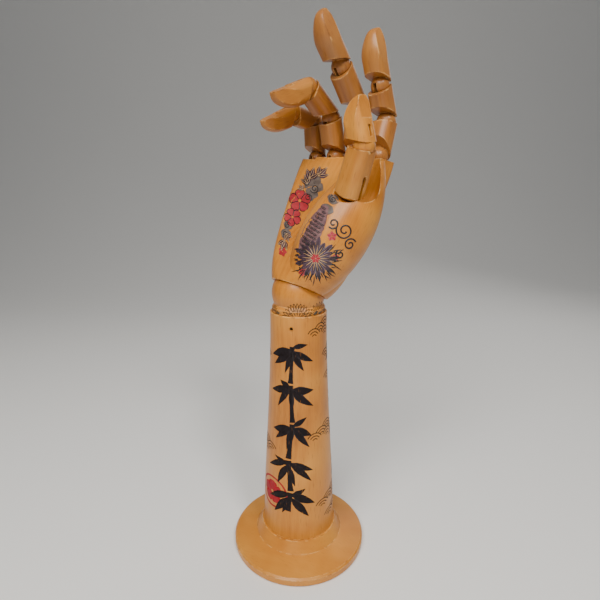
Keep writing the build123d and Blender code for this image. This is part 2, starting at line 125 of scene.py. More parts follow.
class NodeDesk:
    # a small helper that adds nodes to a tree and joins their sockets
    def __init__(self, tree):
        self.tree = tree

    def feed(self, node, sockets):
        for key, value in sockets.items():
            if isinstance(value, bpy.types.NodeSocket):
                self.tree.links.new(value, node.inputs[key])
            else:
                node.inputs[key].default_value = value

    def add(self, kind, sockets=None, **settings):
        node = self.tree.nodes.new(kind)
        row, column = divmod(len(self.tree.nodes), nodeRow)
        node.location = (nodeGap[0] * column, -nodeGap[1] * row)
        for key, value in settings.items():
            setattr(node, key, value)
        self.feed(node, sockets or {})
        return node

    def maths(self, operation, first, second=0.0, third=0.0):
        return self.add("ShaderNodeMath", {0: first, 1: second, 2: third}, operation=operation).outputs[0]

    def vector(self, operation, first, second):
        sockets = {0: first, "Scale" if operation == "SCALE" else 1: second}
        node = self.add("ShaderNodeVectorMath", sockets, operation=operation)
        return node.outputs["Value" if operation == "DOT_PRODUCT" else "Vector"]

    def noise(self, place, fineness, detail=plainDetail, output="Fac", **settings):
        sockets = {"Vector": place, "Scale": fineness, "Detail": detail, **settings}
        return self.add("ShaderNodeTexNoise", sockets).outputs[output]

    def spread(self, value, fromMin, fromMax, toMin=0.0, toMax=1.0):
        sockets = {"Value": value, "From Min": fromMin, "From Max": fromMax, "To Min": toMin, "To Max": toMax}
        return self.add("ShaderNodeMapRange", sockets).outputs[0]

    def ramp(self, factor, stops):
        node = self.add("ShaderNodeValToRGB", {"Fac": factor})
        marks = node.color_ramp.elements
        while len(marks) < len(stops):
            marks.new(0.5)
        for mark, (place, colour) in zip(marks, stops):
            mark.position = place
            mark.color = (*colour, 1)
        return node.outputs["Color"]

    def mix(self, factor, first, second):
        node = self.add("ShaderNodeMix", {0: factor}, data_type="RGBA")
        for key, value in ((6, first), (7, second)):
            self.feed(node, {key: value if isinstance(value, bpy.types.NodeSocket) else (*value, 1)})
        return node.outputs[2]


def newMaterial(name):
    material = bpy.data.materials.new(name)
    material.use_nodes = True
    return material, material.node_tree.nodes["Principled BSDF"], NodeDesk(material.node_tree)


# a wide pale floor that curves up into a wall behind the object
floorLook = {"reach": 3.0, "back": 2.2, "rise": 1.4, "top": 4.0, "steps": 12,
             "colour": (0.84, 0.84, 0.83), "roughness": 0.75}


def layFloor(look):
    reach, back, rise = look["reach"], look["back"], look["rise"]
    rows = [(-reach, 0.0)]
    for step in range(look["steps"] + 1):
        angle = math.pi / 2 * step / look["steps"]
        rows.append((back + rise * math.sin(angle) - rise, rise - rise * math.cos(angle)))
    rows.append((back, look["top"]))
    points = []
    for along, high in rows:
        for side in (-reach, reach):
            points.append(tuple(flatAway * along + sideways * side + Vector((0, 0, high))))
    faces = [(2 * row, 2 * row + 1, 2 * row + 3, 2 * row + 2) for row in range(len(rows) - 1)]
    mesh = bpy.data.meshes.new("paleFloor")
    mesh.from_pydata(points, [], faces)
    for face in mesh.polygons:
        face.use_smooth = True
    floor = bpy.data.objects.new("paleFloor", mesh)
    material, shader, desk = newMaterial("paleFloorPaint")
    desk.feed(shader, {"Base Color": (*look["colour"], 1), "Roughness": look["roughness"]})
    mesh.materials.append(material)
    bpy.context.scene.collection.objects.link(floor)


layFloor(floorLook)
print("camera, lights and floor set")

# beech under a satin varnish; finenesses are cells per metre, and a stretch is their share along the grain
woodLook = {
    "light": (0.66, 0.275, 0.036),
    "middle": (0.53, 0.190, 0.018),
    "dark": (0.33, 0.100, 0.008),
    "toneMarks": (0.22, 0.5, 0.82),          # where dark, middle and light stand
    "fleck": (0.16, 0.05, 0.008),
    # the dull brown of handled wood, also used as painted shade on the fingers
    "agedAndShaded": (0.20, 0.098, 0.042),
    "worn": (0.80, 0.46, 0.16),
    "grime": (0.13, 0.045, 0.010),
    "driftFineness": 9.0,                    # the slow wander of the growth rings
    "driftDetail": 1.0,
    "driftReach": 0.02,
    "ringFineness": 60.0,
    "ringStretch": 0.22,
    "ringTwist": 2.4,
    "ringDetail": (2.0, 0.6),                # octaves, and their scale
    "ringShare": 0.11,
    "fibreFineness": 1100.0,
    "fibreStretch": 0.035,
    "fibreDetail": 3.0,
    "fibreRoughness": 0.6,
    "fibreShare": 0.46,
    "lineLevel": -0.285,
    "fleckFineness": 620.0,
    "fleckStretch": 0.16,
    "fleckChoice": 0.45,                     # share of the cells without a fleck
    "fleckSize": (0.14, 0.32),
    "fleckShade": 0.36,
    "fleckDepth": 0.45,
    "blotchFineness": 26.0,
    "blotchShare": 1.0,
    "blotchLevel": 0.005,
    "patinaAndShade": (1.2, 0.4),                    # share of the blotches, and level
    "roughness": {"fibre": 0.16, "blotch": 0.14, "level": 0.24},
    "varnish": 0.2,
    "varnishRoughness": 0.19,
    "shine": 0.34,
    "edge": 0.0004,
    "wear": 0.85,
    "wearReach": 0.0015,
    "wearFineness": 170.0,
    "wearDetail": 3.0,
    "wearTurn": (0.99, 0.88),                # from a gentle turn of the surface to a sharp one
    "wearEdge": 0.08,
    "wearKinds": (("worn", 0.0, 0.45), ("grime", 3.7, 0.53)),     # colour, shift of its patches, threshold
    "bump": 0.22,
    "bumpDepth": 0.00025,
    "seed": 7,
}
woodInputs = ("Tone", "Age", "Grain")
bevelSamples = 4


def woodGroup(look):
    tree = bpy.data.node_groups.new("turnedBeech", "ShaderNodeTree")
    placeSocket = tree.interface.new_socket(name="Place", in_out="INPUT", socket_type="NodeSocketVector")
    placeSocket.hide_value = True
    for name in woodInputs:
        tree.interface.new_socket(name=name, in_out="INPUT", socket_type="NodeSocketFloat")
    for name, kind in (("Colour", "Color"), ("Roughness", "Float"), ("Height", "Float")):
        tree.interface.new_socket(name=name, in_out="OUTPUT", socket_type="NodeSocket" + kind)
    desk = NodeDesk(tree)
    given = desk.add("NodeGroupInput").outputs
    place = given["Place"]

    drift = desk.noise(place, look["driftFineness"], look["driftDetail"], "Color")
    wander = desk.vector("SCALE", desk.vector("SUBTRACT", drift, (noiseMiddle,) * 3), look["driftReach"])
    warped = desk.vector("MULTIPLY", desk.vector("ADD", place, wander), (1, 1, look["ringStretch"]))
    octaves, octaveScale = look["ringDetail"]
    rings = desk.add("ShaderNodeTexWave", {
        "Vector": warped, "Scale": look["ringFineness"], "Distortion": look["ringTwist"],
        "Detail": octaves, "Detail Scale": octaveScale}, bands_direction="X").outputs["Fac"]
    along = desk.vector("MULTIPLY", place, (1, 1, look["fibreStretch"]))
    fibre = desk.noise(along, look["fibreFineness"], look["fibreDetail"], Roughness=look["fibreRoughness"])
    blotch = desk.noise(place, look["blotchFineness"])

    short = desk.vector("MULTIPLY", place, (1, 1, look["fleckStretch"]))
    cells = desk.add("ShaderNodeTexVoronoi", {"Vector": short, "Scale": look["fleckFineness"]})
    chance = desk.add("ShaderNodeSeparateColor", {0: cells.outputs["Color"]}).outputs[0]
    chosen = desk.maths("GREATER_THAN", chance, look["fleckChoice"])
    dash = desk.spread(cells.outputs["Distance"], *look["fleckSize"], 1.0, 0.0)
    fleck = desk.maths("MULTIPLY", desk.maths("MULTIPLY", chosen, dash), given["Grain"])

    fine = desk.maths("MULTIPLY_ADD", fibre, look["fibreShare"], look["lineLevel"])
    lines = desk.maths("MULTIPLY_ADD", rings, look["ringShare"], fine)
    clouds = desk.maths("MULTIPLY_ADD", blotch, look["blotchShare"], look["blotchLevel"])
    share = desk.maths("ADD", desk.maths("MULTIPLY_ADD", lines, given["Grain"], clouds), given["Tone"])
    plain = desk.ramp(share, tuple(zip(look["toneMarks"], (look["dark"], look["middle"], look["light"]))))
    # darkens towards a dull brown in blotches by the age: handling wear on every piece, and painted shade on
    # the fingers as well
    patinaAndShade = desk.maths("MULTIPLY", given["Age"], desk.maths("MULTIPLY_ADD", blotch, *look["patinaAndShade"]))
    dulledAndShaded = desk.mix(patinaAndShade, plain, look["agedAndShaded"])
    colour = desk.mix(desk.maths("MULTIPLY", fleck, look["fleckShade"]), dulledAndShaded, look["fleck"])

    rough = look["roughness"]
    fibreRough = desk.maths("MULTIPLY", fibre, rough["fibre"])
    blotchRough = desk.maths("MULTIPLY_ADD", blotch, rough["blotch"], rough["level"])
    height = desk.maths("SUBTRACT", fibre, desk.maths("MULTIPLY", fleck, look["fleckDepth"]))
    desk.add("NodeGroupOutput", {"Colour": colour, "Roughness": desk.maths("ADD", fibreRough, blotchRough),
                                 "Height": height})
    return tree


beech = woodGroup(woodLook)


def jointPlace(name):
    return Vector(next(joint["pos_m"] for joint in joints if joint["name"] == name))


def farEnd(node, start):
    return max((corner.co for corner in nodes[node].data.vertices), key=lambda point: (point - start).length)


# where the grain starts and which way it runs, for the pieces that no joint gives a line
turnedGrain = {
    "base_disc": ((0.03, 0.2, 0), (1, 0.35, 0)),
    "forearm": ((0.012, 0.03, 0), (0, 0, 1)),
    "wrist_block": ((-0.02, 0.01, 0.22), (0.1, 0.05, 1)),
    "wrist_stem": ((0, 0, 0.2), (0, 0, 1)),
}


def grainLines():
    # hand pieces follow their joints
    lines = {node: (Vector(start), Vector(way)) for node, (start, way) in turnedGrain.items()}
    wrist = jointPlace("wrist_bend")
    lines["palm"] = (wrist, jointPlace("middle_knuckle") - wrist)
    for finger in ("index", "middle", "ring", "little"):
        knuckle = jointPlace(finger + "_knuckle")
        middle = jointPlace(finger + "_middle_joint")
        end = jointPlace(finger + "_end_joint")
        lines[finger + "_proximal"] = (knuckle, middle - knuckle)
        lines[finger + "_middle"] = (middle, end - middle)
        lines[finger + "_distal"] = (end, farEnd(finger + "_distal", end) - end)
    root, tip = jointPlace("thumb_base_joint"), jointPlace("thumb_end_joint")
    lines["thumb_proximal"] = (root, tip - root)
    lines["thumb_distal"] = (tip, farEnd("thumb_distal", tip) - tip)
    return lines


grainLine = grainLines()

# tone: plus is lighter, minus is browner; age: how far handling has dulled the wood, and on the fingers also
# painted shade; grain: how far it shows
woodTone = {
    "base_disc": (0.14, 0.08, 0.30),
    "forearm": (0.05, 0.06, 0.70),
    "wrist_block": (0.04, 0.05, 0.60),
    "wrist_stem": (0.00, 0.00, 1.00),
    "palm": (0.05, 0.06, 0.65),
    # the fingers' lower tone and higher age are partly handling wear and partly painted shade
    "index_proximal": (-0.06, 0.42, 0.80),
    "index_middle": (-0.09, 0.48, 0.80),
    "index_distal": (-0.03, 0.46, 0.80),
    "middle_proximal": (-0.05, 0.48, 0.80),
    "middle_middle": (-0.03, 0.52, 0.80),
    "middle_distal": (-0.05, 0.56, 0.80),
    "ring_proximal": (-0.05, 0.46, 0.80),
    "ring_middle": (-0.01, 0.46, 0.80),
    "ring_distal": (-0.03, 0.34, 0.80),
    "little_proximal": (-0.05, 0.48, 0.80),
    "little_middle": (-0.03, 0.46, 0.80),
    "little_distal": (0.01, 0.28, 0.80),
    "thumb_proximal": (0.00, 0.14, 0.80),
    "thumb_distal": (0.05, 0.12, 0.80),
}
grainShift = 0.2     # each piece shows another stretch of the same wood


def grainMapping(desk, node):
    start, direction = grainLine[node]
    turned = direction.normalized().rotation_difference(Vector((0, 0, 1)))
    chance = random.Random(woodLook["seed"] + sorted(grainLine).index(node))
    shift = Vector([chance.uniform(-grainShift, grainShift) for axis in range(3)])
    mapping = desk.add("ShaderNodeMapping", {"Vector": desk.add("ShaderNodeTexCoord").outputs["Object"]})
    mapping.inputs["Rotation"].default_value = turned.to_euler("XYZ")
    mapping.inputs["Location"].default_value = shift - turned @ start
    return mapping.outputs["Vector"]


def beechOn(desk, node):
    # the shared beech, with this piece's grain and tone
    wood = desk.add("ShaderNodeGroup", node_tree=beech)
    place = grainMapping(desk, node)
    desk.feed(wood, {"Place": place, **dict(zip(woodInputs, woodTone[node]))})
    return place, wood.outputs


def wearEdges(desk, place, colour, look):
    # rubbed pale and knocked dark in patches wherever the surface turns sharply
    turned = desk.add("ShaderNodeBevel", {"Radius": look["wearReach"]}, samples=bevelSamples).outputs[0]
    facing = desk.vector("DOT_PRODUCT", turned, desk.add("ShaderNodeNewGeometry").outputs["Normal"])
    edge = desk.spread(facing, *look["wearTurn"], 0.0, look["wear"])
    for kind, shift, low in look["wearKinds"]:
        moved = desk.vector("ADD", place, (shift, shift, 0))
        patch = desk.noise(moved, look["wearFineness"], look["wearDetail"])
        chosen = desk.spread(patch, low, low + look["wearEdge"])
        colour = desk.mix(desk.maths("MULTIPLY", edge, chosen), colour, look[kind])
    return colour


def finishWood(desk, shader, colour, roughness, height, look, shine=1.0):
    soft = desk.add("ShaderNodeBevel", {"Radius": look["edge"]}, samples=bevelSamples).outputs[0]
    bump = desk.add("ShaderNodeBump", {"Strength": look["bump"], "Distance": look["bumpDepth"],
                                       "Height": height, "Normal": soft}).outputs[0]
    desk.feed(shader, {"Base Color": colour, "Roughness": roughness, "Normal": bump,
                       "Specular IOR Level": look["shine"] * shine, "Coat Weight": look["varnish"] * shine,
                       "Coat Roughness": look["varnishRoughness"]})


def woodMaterial(node):
    material, shader, desk = newMaterial(node + "Wood")
    place, wood = beechOn(desk, node)
    colour = wearEdges(desk, place, wood["Colour"], woodLook)
    finishWood(desk, shader, colour, wood["Roughness"], wood["Height"], woodLook)
    return material


steelLook = {"colour": (0.55, 0.54, 0.52), "roughness": (0.26, 0.46)}
brownedLook = {"colour": (0.035, 0.026, 0.02), "roughness": (0.5, 0.7)}
drawnMarks = {"fineness": 2600.0, "stretch": 0.05, "shade": 0.8, "bump": 0.08, "bumpDepth": 0.0001}


def steelMaterial(name, look, marks):
    material, shader, desk = newMaterial(name)
    place = desk.add("ShaderNodeTexCoord").outputs["Object"]
    drawn = desk.noise(desk.vector("MULTIPLY", place, (marks["stretch"], 1, 1)), marks["fineness"])
    low, high = look["roughness"]
    rough = desk.maths("MULTIPLY_ADD", drawn, high - low, low)
    colour = desk.mix(drawn, tuple(marks["shade"] * value for value in look["colour"]), look["colour"])
    bump = desk.add("ShaderNodeBump", {"Strength": marks["bump"], "Distance": marks["bumpDepth"],
                                       "Height": drawn}).outputs[0]
    desk.feed(shader, {"Base Color": colour, "Roughness": rough, "Normal": bump, "Metallic": 1.0})
    return material


feltLook = {"dark": (0.018, 0.06, 0.03), "light": (0.05, 0.14, 0.07), "marks": (0.3, 0.75),
            "fuzzFineness": 2400.0, "fuzzDetail": 4.0, "fuzzTwist": 1.2, "fuzzShare": 0.6,
            "patchFineness": 60.0, "patchShare": 0.5,
            "bump": 0.6, "bumpDepth": 0.0004, "roughness": 0.92, "sheen": 0.4}


def feltMaterial(look):
    material, shader, desk = newMaterial("greenFelt")
    place = desk.add("ShaderNodeTexCoord").outputs["Object"]
    fuzz = desk.noise(place, look["fuzzFineness"], look["fuzzDetail"], Distortion=look["fuzzTwist"])
    patch = desk.noise(place, look["patchFineness"])
    fuzzShade = desk.maths("MULTIPLY", fuzz, look["fuzzShare"])
    share = desk.maths("MULTIPLY_ADD", patch, look["patchShare"], fuzzShade)
    colour = desk.ramp(share, tuple(zip(look["marks"], (look["dark"], look["light"]))))
    bump = desk.add("ShaderNodeBump", {"Strength": look["bump"], "Distance": look["bumpDepth"],
                                       "Height": fuzz}).outputs[0]
    desk.feed(shader, {"Base Color": colour, "Normal": bump, "Roughness": look["roughness"],
                       "Sheen Weight": look["sheen"]})
    return material


def dressFrame():
    steel = steelMaterial("drawnSteel", steelLook, drawnMarks)
    oldPin = steelMaterial("brownedSteel", brownedLook, drawnMarks)
    felt = feltMaterial(feltLook)
    for name, piece in nodes.items():
        if name in grainLine:
            material = woodMaterial(name)
        else:
            material = {"base_pad": felt, "wrist_lock_pin": oldPin}.get(name, steel)
        piece.data.materials.clear()
        piece.data.materials.append(material)


dressFrame()
print("wood, steel and felt laid on", len(nodes), "nodes")

# painted marks: colour where the paint pools, wash where it is thin, cover is how far it hides the wood
inkLook = {
    "black": {"colour": (0.004, 0.004, 0.006), "wash": (0.009, 0.008, 0.012), "cover": 0.99, "gloss": 0.42},
    "red": {"colour": (0.29, 0.005, 0.017), "wash": (0.38, 0.016, 0.030), "cover": 0.97, "gloss": 0.42},
    "olive": {"colour": (0.008, 0.010, 0.007), "wash": (0.020, 0.020, 0.012), "cover": 0.97, "gloss": 0.46},
    "grey": {"colour": (0.05, 0.05, 0.052), "wash": (0.11, 0.10, 0.095), "cover": 0.93, "gloss": 0.44},
    "pale": {"colour": (0.42, 0.27, 0.13), "wash": (0.55, 0.38, 0.20), "cover": 0.80, "gloss": 0.44},
    "plum": {"colour": (0.035, 0.022, 0.055), "wash": (0.15, 0.09, 0.12), "cover": 0.86, "gloss": 0.40},
    "violet": {"colour": (0.012, 0.006, 0.018), "wash": (0.05, 0.025, 0.055), "cover": 0.97, "gloss": 0.42},
    "teal": {"colour": (0.008, 0.026, 0.028), "wash": (0.03, 0.06, 0.055), "cover": 0.90, "gloss": 0.44},
    "sepia": {"colour": (0.03, 0.018, 0.008), "wash": (0.10, 0.06, 0.025), "cover": 0.88, "gloss": 0.44},
}
brushLook = {
    "shine": {"forearm": 0.3, "wrist_block": 0.5, "palm": 1.2},     # of the bare wood's shine
    "patchFineness": 260.0,
    "patchDetail": 3.0,
    "poolMarks": (0.38, 0.72),
    "patchRoughness": 0.2,
    "dryFineness": 1500.0,
    "dryStretch": 0.1,
    "dryMarks": (0.67, 0.77),
    "dryCover": 0.55,                                               # of the full cover
}


def inkMaterial(node, ink):
    look, brush = inkLook[ink], brushLook
    material, shader, desk = newMaterial(ink + "InkOn_" + node)
    place, wood = beechOn(desk, node)
    patch = desk.noise(place, brush["patchFineness"], brush["patchDetail"])
    dry = desk.noise(desk.vector("MULTIPLY", place, (1, 1, brush["dryStretch"])), brush["dryFineness"])
    pool = desk.ramp(patch, tuple(zip(brush["poolMarks"], (look["colour"], look["wash"]))))
    held = desk.spread(dry, *brush["dryMarks"], look["cover"], look["cover"] * brush["dryCover"])
    colour = desk.mix(held, wood["Colour"], pool)
    rough = desk.maths("MULTIPLY_ADD", patch, brush["patchRoughness"], look["gloss"])
    finishWood(desk, shader, colour, rough, wood["Height"], woodLook, brush["shine"][node])
    return material


# how a stroke becomes a thin coat of paint; lengths are in metres, a strip's sides in half widths of a stroke
coatSizes = {"Step": 0.0011, "Across": 3, "Proud": 0.00009, "Sunk": 0.0003, "Ragged": 0.10, "Seed": 3.0}
coatBuild = {"shakeFineness": 620.0, "shakeGain": 4.0, "stripWidth": 2.0, "stripHeight": 0.2,
             "roundStart": 0.2, "flatStart": 0.3, "rayLength": 1.0}
fanSizes = {"Fan Radius": 0.0074, "Line": 0.0004}
fanArcs = ((1.0, 29.4), (0.67, 34.0), (0.35, 32.0))     # share of the radius, where it starts
fanArcPoints = 16


def fanCurves(tree, desk, given):
    # three nested arcs on every point of the drawing
    joined = desk.add("GeometryNodeJoinGeometry")
    arcs = []
    for share, start in fanArcs:
        arcs.append(desk.add("GeometryNodeCurveArc", {
            "Resolution": fanArcPoints, "Radius": desk.maths("MULTIPLY", given["Fan Radius"], share),
            "Start Angle": math.radians(start), "Sweep Angle": math.radians(180 - 2 * start)}).outputs[0])
    for arc in arcs:
        tree.links.new(arc, joined.inputs[0])
    sockets = {"Points": given["Drawing"], "Instance": joined.outputs[0]}
    placed = desk.add("GeometryNodeInstanceOnPoints", sockets).outputs[0]
    return desk.add("GeometryNodeRealizeInstances", {0: placed}).outputs[0]


def strokeBand(desk, drawing, width, given):
    # a flat strip along each stroke, with slightly shaky edges
    evened = desk.add("GeometryNodeResampleCurve", {"Curve": drawing, "Length": given["Step"]},
                      mode="LENGTH").outputs[0]
    spot = desk.add("GeometryNodeInputPosition").outputs[0]
    shaky = desk.add("ShaderNodeTexNoise", {
        "Vector": spot, "W": given["Seed"], "Scale": coatBuild["shakeFineness"], "Detail": plainDetail},
        noise_dimensions="4D").outputs[0]
    swing = desk.maths("MULTIPLY", given["Ragged"], coatBuild["shakeGain"])
    wobble = desk.maths("MULTIPLY_ADD", desk.maths("SUBTRACT", shaky, noiseMiddle), swing, 1.0)
    level = desk.add("GeometryNodeSetCurveNormal", {0: evened}, mode="Z_UP").outputs[0]
    profile = desk.add("GeometryNodeCurvePrimitiveQuadrilateral", {
        "Width": coatBuild["stripWidth"], "Height": coatBuild["stripHeight"]}).outputs[0]
    strip = desk.add("GeometryNodeSubdivideCurve", {0: profile, "Cuts": given["Across"]}).outputs[0]
    return desk.add("GeometryNodeCurveToMesh", {
        "Curve": level, "Profile Curve": strip, "Fill Caps": True,
        "Scale": desk.maths("MULTIPLY", width, wobble)}).outputs[0]


def strokeRays(desk, flat, mapping, given):
    # from where, and which way, each point of the flat drawing falls on the wood
    high = desk.add("ShaderNodeCombineXYZ", {2: flat[1]}).outputs[0]
    if mapping == "round":
        angle = desk.maths("ADD", desk.maths("DIVIDE", flat[0], given["Round"]), given["Turn"])
        sockets = {0: desk.maths("COSINE", angle), 1: desk.maths("SINE", angle)}
        outward = desk.add("ShaderNodeCombineXYZ", sockets).outputs[0]
        start = desk.vector("ADD", desk.vector("SCALE", outward, coatBuild["roundStart"]), high)
        return start, desk.vector("SCALE", outward, -1.0)
    across = desk.vector("ADD", desk.vector("SCALE", given["Right"], flat[0]), high)
    back = desk.vector("SCALE", given["Away"], coatBuild["flatStart"])
    return desk.vector("SUBTRACT", across, back), given["Away"]


def inkTree(name, mapping, fans=False):
    tree = bpy.data.node_groups.new(name, "GeometryNodeTree")
    sockets = [("Drawing", "Geometry"), ("Wood", "Object"), ("Ink", "Material")]
    sockets += [(key, "Int" if key == "Across" else "Float") for key in coatSizes]
    if mapping == "round":
        sockets += [("Round", "Float"), ("Turn", "Float")]
    else:
        sockets += [("Right", "Vector"), ("Away", "Vector")]
    sockets += [(key, "Float") for key in fanSizes] if fans else []
    for key, kind in sockets:
        tree.interface.new_socket(name=key, in_out="INPUT", socket_type="NodeSocket" + kind)
    tree.interface.new_socket(name="Coat", in_out="OUTPUT", socket_type="NodeSocketGeometry")
    desk = NodeDesk(tree)
    given = desk.add("NodeGroupInput").outputs
    if fans:
        band = strokeBand(desk, fanCurves(tree, desk, given), given["Line"], given)
    else:
        radius = desk.add("GeometryNodeInputRadius").outputs[0]
        band = strokeBand(desk, given["Drawing"], radius, given)
    place = desk.add("GeometryNodeInputPosition").outputs[0]
    flat = desk.add("ShaderNodeSeparateXYZ", {0: place}).outputs
    top = desk.add("FunctionNodeCompare", {0: flat[2], 1: 0.0}, operation="GREATER_THAN").outputs[0]
    start, aim = strokeRays(desk, flat, mapping, given)
    wood = desk.add("GeometryNodeObjectInfo", {0: given["Wood"]}).outputs["Geometry"]
    cast = desk.add("GeometryNodeRaycast", {
        "Target Geometry": wood, "Source Position": start, "Ray Direction": aim,
        "Ray Length": coatBuild["rayLength"]}).outputs
    sunk = desk.maths("MULTIPLY", given["Sunk"], -1.0)
    lift = desk.add("GeometryNodeSwitch", {0: top, 1: sunk, 2: given["Proud"]}, input_type="FLOAT").outputs[0]
    laid = desk.vector("ADD", cast["Hit Position"], desk.vector("SCALE", cast["Hit Normal"], lift))
    coat = desk.add("GeometryNodeSetPosition", {"Geometry": band, "Position": laid}).outputs[0]
    real = desk.add("GeometryNodeRealizeInstances", {0: coat}).outputs[0]
    inked = desk.add("GeometryNodeSetMaterial", {0: real, "Material": given["Ink"]}).outputs[0]
    desk.add("NodeGroupOutput", {0: inked})
    return tree


inkTrees = {"round": inkTree("inkRoundTurnedWood", "round"), "flat": inkTree("inkOnPalm", "flat"),
            "fans": inkTree("waveFansRoundWood", "round", fans=True)}


def paint(name, node, ink, drawing, kind, sizes):
    # lays one drawing on one piece of wood and keeps the result as a plain mesh
    source = bpy.data.objects.new(name + "Drawing", drawing)
    bpy.context.scene.collection.objects.link(source)
    modifier = source.modifiers.new("ink", "NODES")
    modifier.node_group = inkTrees[kind]
    values = {"Wood": nodes[node], "Ink": inkMaterial(node, ink), **coatSizes, **fanSizes, **sizes}
    for item in inkTrees[kind].interface.items_tree:
        if item.in_out == "INPUT" and item.name in values:
            modifier[item.identifier] = values[item.name]
    bpy.context.view_layer.update()
    made = source.evaluated_get(bpy.context.evaluated_depsgraph_get())
    piece = bpy.data.objects.new(name, bpy.data.meshes.new_from_object(made))
    source.modifiers.remove(modifier)
    bpy.data.objects.remove(source)
    bpy.context.scene.collection.objects.link(piece)
    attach(piece, nodes[node]["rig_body"])
    print("painted", name, "on", node, len(piece.data.polygons), "faces")


# drawings are flat and in millimetres: side, height and width at each point of a stroke
millimetre = 0.001
leafShape = ((0, 0.12), (0.15, 0.6), (0.38, 1.15), (0.68, 0.85), (1, 0.05))      # share of length, of width
petalShape = ((0, 0.25), (0.25, 0.75), (0.6, 1.2), (0.9, 1.05), (1, 0.3))
bendSteps = 6
heartShare = 0.12        # of a blossom's radius, where its petals start
ringPoints = 26          # on a full turn
leastPoints = 8


def drawStrokes(name, strokes):
    drawing = bpy.data.curves.new(name + "Strokes", "CURVE")
    drawing.dimensions = "3D"
    for stroke in strokes:
        line = drawing.splines.new("NURBS")
        line.points.add(len(stroke) - 1)
        for point, (side, high, width) in zip(line.points, stroke):
            point.co = (side * millimetre, high * millimetre, 0, 1)
            point.radius = width / 2 * millimetre
        line.order_u = 3
        line.use_endpoint_u = True
    return drawing


def spotAt(side, high, reach, heading):
    # headings are degrees from the right, anticlockwise
    angle = math.radians(heading)
    return side + reach * math.cos(angle), high + reach * math.sin(angle)


def leaf(side, high, heading, length, width, bend=0.0, shape=leafShape):
    # bend is how far the heading turns along the leaf
    points = []
    done = 0.0
    for share, wide in shape:
        for step in range(bendSteps if share > done else 0):
            turn = bend * (done + (share - done) * (step + 0.5) / bendSteps)
            side, high = spotAt(side, high, length * (share - done) / bendSteps, heading + turn)
        done = share
        points.append((side, high, wide * width))
    return points


def blossom(side, high, radius, petals, turn, width):
    strokes = []
    for count in range(petals):
        heading = turn + 360 * count / petals
        x, z = spotAt(side, high, heartShare * radius, heading)
        strokes.append(leaf(x, z, heading, radius * (1 - heartShare), width, shape=petalShape))
    return strokes


def ring(side, high, radius, width, turns=1.0, start=0.0, endShare=1.0):
    # endShare under 1 winds the ring inwards like a scroll
    count = max(leastPoints, int(ringPoints * turns))
    points = []
    for step in range(count + 1):
        reach = radius + (radius * endShare - radius) * step / count
        points.append((*spotAt(side, high, reach, start + 360 * turns * step / count), width))
    return points


# a stalk of bamboo down the front of the forearm, and a second one round the back; joints are side and
# height, leaves are heading, length and width
bambooSpray = {
    "front": {
        "joints": ((-5.5, 192), (-7, 160), (-5, 127), (-8, 95), (-6, 66), (-8, 47)),
        "stalk": 3.8,
        "leaves": ((-172, 22, 6.6), (-140, 23, 6.2), (-104, 20, 5.2), (-58, 22, 6.2), (-22, 20, 6.2),
                   (24, 13, 4.6)),
        "seed": 5,
    },
    "back": {
        "joints": ((58, 186), (55, 152), (59, 118), (54, 84), (57, 50)),
        "stalk": 2.4,
        "leaves": ((-165, 26, 5.0), (-132, 22, 5.2), (-88, 19, 4.6), (-46, 23, 5.2), (-12, 18, 4.4)),
        "seed": 11,
    },
    "stalkShape": ((0.0, 1.35), (0.25, 0.85), (0.75, 0.85), (1.0, 1.3)),     # share of length, of width
    "jointGap": 0.8,
    "hang": (1, 5),             # how far below its joint a leaf starts
    "leafTurn": 9,
    "leafBend": 18,
    "leafSize": (0.85, 1.1),
}


def bamboo(look, habit):
    chance = random.Random(look["seed"])
    strokes = []
    for (x0, z0), (x1, z1) in zip(look["joints"], look["joints"][1:]):
        stalk = [[x0 * (1 - share) + x1 * share, z0 * (1 - share) + z1 * share, look["stalk"] * wide]
                 for share, wide in habit["stalkShape"]]
        stalk[0][1] -= habit["jointGap"]
        stalk[-1][1] += habit["jointGap"]
        strokes.append(stalk)
    for tier, (x, z) in enumerate(look["joints"][:-1]):
        for heading, length, width in look["leaves"]:
            flip = -180 - heading if tier % 2 else heading
            start = z - chance.uniform(*habit["hang"])
            turned = flip + chance.uniform(-habit["leafTurn"], habit["leafTurn"])
            long = length * chance.uniform(*habit["leafSize"])
            wide = width * chance.uniform(*habit["leafSize"])
            bend = chance.uniform(-habit["leafBend"], habit["leafBend"])
            strokes.append(leaf(x, start, turned, long, wide, bend))
    return strokes


# places of the fans' middles, side and height in millimetres; the rows overlap like fish scales
waveGroups = {
    "besideTheHole": ((15, 197.5), (22.4, 201.2), (29.8, 204.9), (29.8, 197.5)),
    "rightEdge": ((31, 178), (38.4, 181.7), (38.4, 174.3), (33, 158), (40.4, 161.7)),
    "middleRight": ((14, 109.5), (28.8, 109.5), (21.4, 113.2), (28.8, 116.9), (36.2, 113.2)),
    "middleLeft": ((-26.5, 97), (-33.9, 100.7), (-33.9, 93.3), (-41.3, 97)),
    "leftTop": ((-38, 176), (-45.4, 179.7)),
    "lowRight": ((20, 47), (27.4, 50.7), (34.8, 54.4), (34.8, 47), (28, 34), (35.4, 37.7)),
    "backHigh": ((74, 196), (81.4, 199.7), (-66, 192), (-58.6, 195.7)),
    "backMiddle": ((78, 132), (85.4, 135.7), (-72, 126), (-64.6, 129.7), (-57.2, 126)),
    "backLow": ((74, 58), (81.4, 61.7), (-62, 44), (-54.6, 47.7), (-69.4, 47.7)),
}
sealLook = {"place": (-22.5, 60.5), "radius": 13.6, "line": 1.5,
            "blossom": 10.2, "petals": 5, "turn": 90, "petalWidth": 8.4}

# coats on turned wood: side is measured round a mean radius, from the photograph's side
paintTurn = math.radians(-cameraSetup["turn"])
forearmCoat = {"Round": 0.0265, "Turn": paintTurn}
sealCoat = {**forearmCoat, "Proud": 0.00006}
fanCoat = {**forearmCoat, "Ragged": 0.05, "Across": 1, "Proud": 0.00005}


